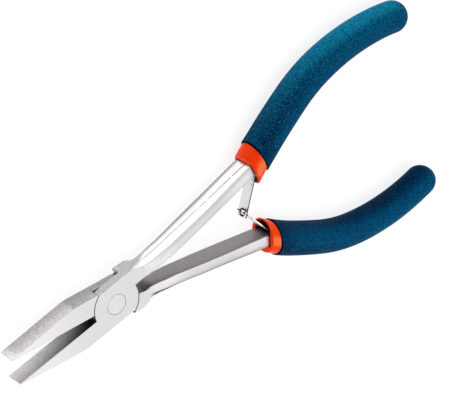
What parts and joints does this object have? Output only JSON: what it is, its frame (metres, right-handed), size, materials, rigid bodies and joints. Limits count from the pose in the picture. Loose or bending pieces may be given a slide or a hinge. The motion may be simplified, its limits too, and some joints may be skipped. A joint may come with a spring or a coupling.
{
  "type": "flat nose pliers",
  "caption": "Long slim flat nose pliers for jewellery work, with a riveted lap joint, interlocking leaf springs and two-layer sleeved handles, held open by their springs.",
  "frame": {"origin": "on the pivot axis, in the joint's back face, at the rivet's flush back end", "axes": "+X from the pivot towards the handles along the middle between them, +Y towards arm A's handle, +Z along the pivot axis from the back face to the front face"},
  "size_m": [0.1914, 0.09, 0.0128],
  "materials": {
    "steel": "satin ground and partly polished steel",
    "rivet_steel": "ground flush",
    "spring_steel": "plain rolled strip",
    "orange_vinyl": "glossy dipped vinyl",
    "blue_vinyl": "fine speckled soft vinyl"
  },
  "bodies": {
    "arm_a": {"arm_a": "steel", "pivot_rivet": "rivet_steel", "spring_rivet_a": "rivet_steel", "grip_liner_a": "orange_vinyl", "grip_sleeve_a": "blue_vinyl"},
    "arm_b": {"arm_b": "steel", "spring_rivet_b": "rivet_steel", "grip_liner_b": "orange_vinyl", "grip_sleeve_b": "blue_vinyl"},
    "leaf_a": {"leaf_spring_a": "spring_steel"},
    "leaf_b": {"leaf_spring_b": "spring_steel"}
  },
  "joints": [
    {"name": "pivot", "type": "hinge", "parent": "arm_a", "child": "arm_b", "pos_m": [0, 0, 0.0034], "axis": [0, 0, 1], "range_deg": [0, 13], "stiffness_Nm_per_rad": 1.5, "springref_deg": -5.73},
    {"name": "leaf_flex_a", "type": "hinge", "parent": "arm_a", "child": "leaf_a", "pos_m": [0.06716, 0.01128, 0.0034], "axis": [0, 0, 1], "range_deg": [-36.5, 0], "deforming": ["leaf_spring_a"]},
    {"name": "leaf_flex_b", "type": "hinge", "parent": "arm_b", "child": "leaf_b", "pos_m": [0.06716, -0.01128, 0.0034], "axis": [0, 0, 1], "range_deg": [0, 36.5], "deforming": ["leaf_spring_b"]}
  ],
  "couplings": [
    {"joint": "leaf_flex_a", "follows": "pivot", "ratio": -2.795},
    {"joint": "leaf_flex_b", "follows": "pivot", "ratio": 2.795}
  ]
}
